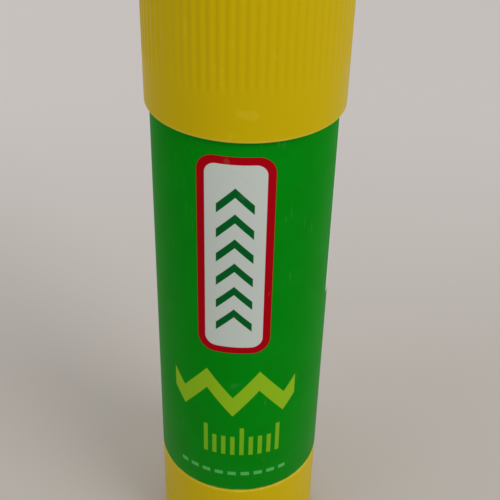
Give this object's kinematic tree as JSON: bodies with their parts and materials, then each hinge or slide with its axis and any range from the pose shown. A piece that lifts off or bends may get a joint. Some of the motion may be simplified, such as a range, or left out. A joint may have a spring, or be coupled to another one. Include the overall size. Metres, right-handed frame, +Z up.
{
  "type": "glue stick",
  "caption": "Slim twist-up glue stick: ribbed push-on cap, labelled round barrel, turning knob, screw spindle, carrier cup and part-used glue column.",
  "frame": {"origin": "centre of the foot, on the surface the stick stands on", "axes": "+Z up the stick's axis, from the turning knob to the cap; -Y is the printed front; the label's seam is at +Y"},
  "size_m": [0.0202, 0.0202, 0.0858],
  "materials": {
    "yellow_plastic": "satin",
    "white_plastic": "satin",
    "printed_film": "satin",
    "natural_plastic": "satin",
    "glue": "matte"
  },
  "bodies": {
    "barrel": {"barrel": "white_plastic", "label": "printed_film"},
    "cap": {"cap": "yellow_plastic"},
    "knob": {"turning_knob": "yellow_plastic", "screw_spindle": "natural_plastic"},
    "carrier": {"carrier": "natural_plastic", "glue_stick": "glue"}
  },
  "joints": [
    {"name": "cap_pull", "type": "slide", "parent": "barrel", "child": "cap", "axis": [0, 0, 1], "range_m": [0, 0.03]},
    {"name": "knob_turn", "type": "hinge", "parent": "barrel", "child": "knob", "pos_m": [0, 0, 0.01285], "axis": [0, 0, 1], "range_deg": [-3600, 1080]},
    {"name": "carrier_slide", "type": "slide", "parent": "barrel", "child": "carrier", "axis": [0, 0, 1], "range_m": [-0.035, 0.0105]}
  ],
  "couplings": [
    {"joint": "carrier_slide", "follows": "knob_turn", "m_per_rad": 0.00055704}
  ]
}
